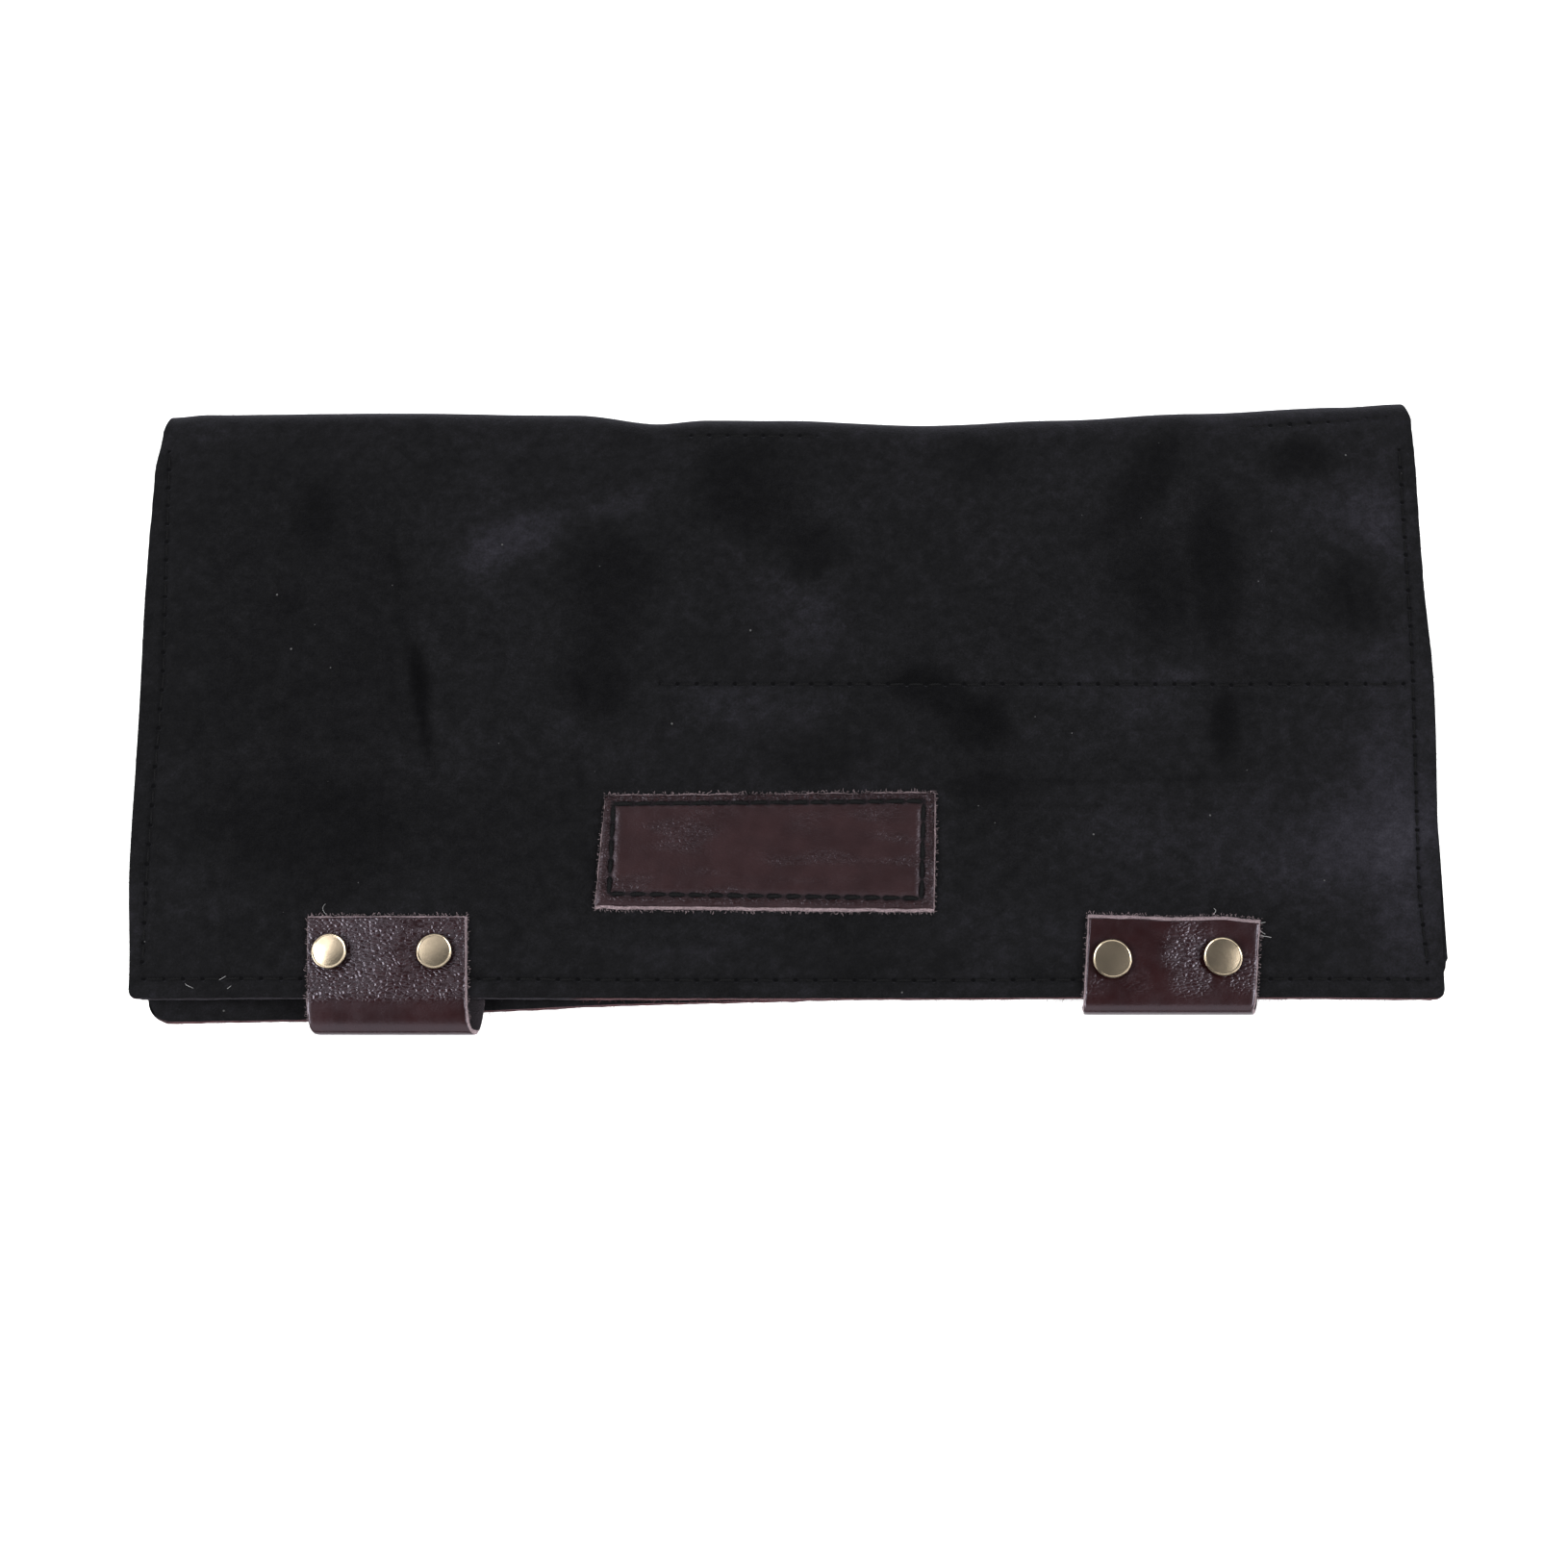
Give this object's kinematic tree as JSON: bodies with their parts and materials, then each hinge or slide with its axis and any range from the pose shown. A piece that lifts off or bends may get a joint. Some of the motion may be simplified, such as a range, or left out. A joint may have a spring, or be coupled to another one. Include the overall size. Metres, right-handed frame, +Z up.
{
  "type": "scissor case",
  "caption": "Folded suede case for scissors, lying closed, with a bare leather patch and riveted leather belt loops on the flap's hem.",
  "frame": {"origin": "middle of the closed case's footprint, on the surface that the back panel lies on", "axes": "+X to the right along the case's long side, +Y from the flap's hem towards the fold, +Z up through the flap"},
  "size_m": [0.3256, 0.163, 0.012],
  "materials": {
    "black_suede": "black suede, matt brushed nap",
    "lining_suede": "black suede, matt nap, reddish cut edge",
    "patch_leather": "dark brown smooth grain leather, satin",
    "strap_leather": "dark reddish brown pebbled leather, semi-gloss",
    "antique_brass": "antique brass, brushed satin"
  },
  "bodies": {
    "root": {"suede_cover": "black_suede", "lining": "lining_suede", "label_patch": "patch_leather", "belt_loop_left": "strap_leather", "belt_loop_right": "strap_leather", "rivet_left_loop_left": "antique_brass", "rivet_left_loop_right": "antique_brass", "rivet_right_loop_left": "antique_brass", "rivet_right_loop_right": "antique_brass"}
  },
  "joints": []
}
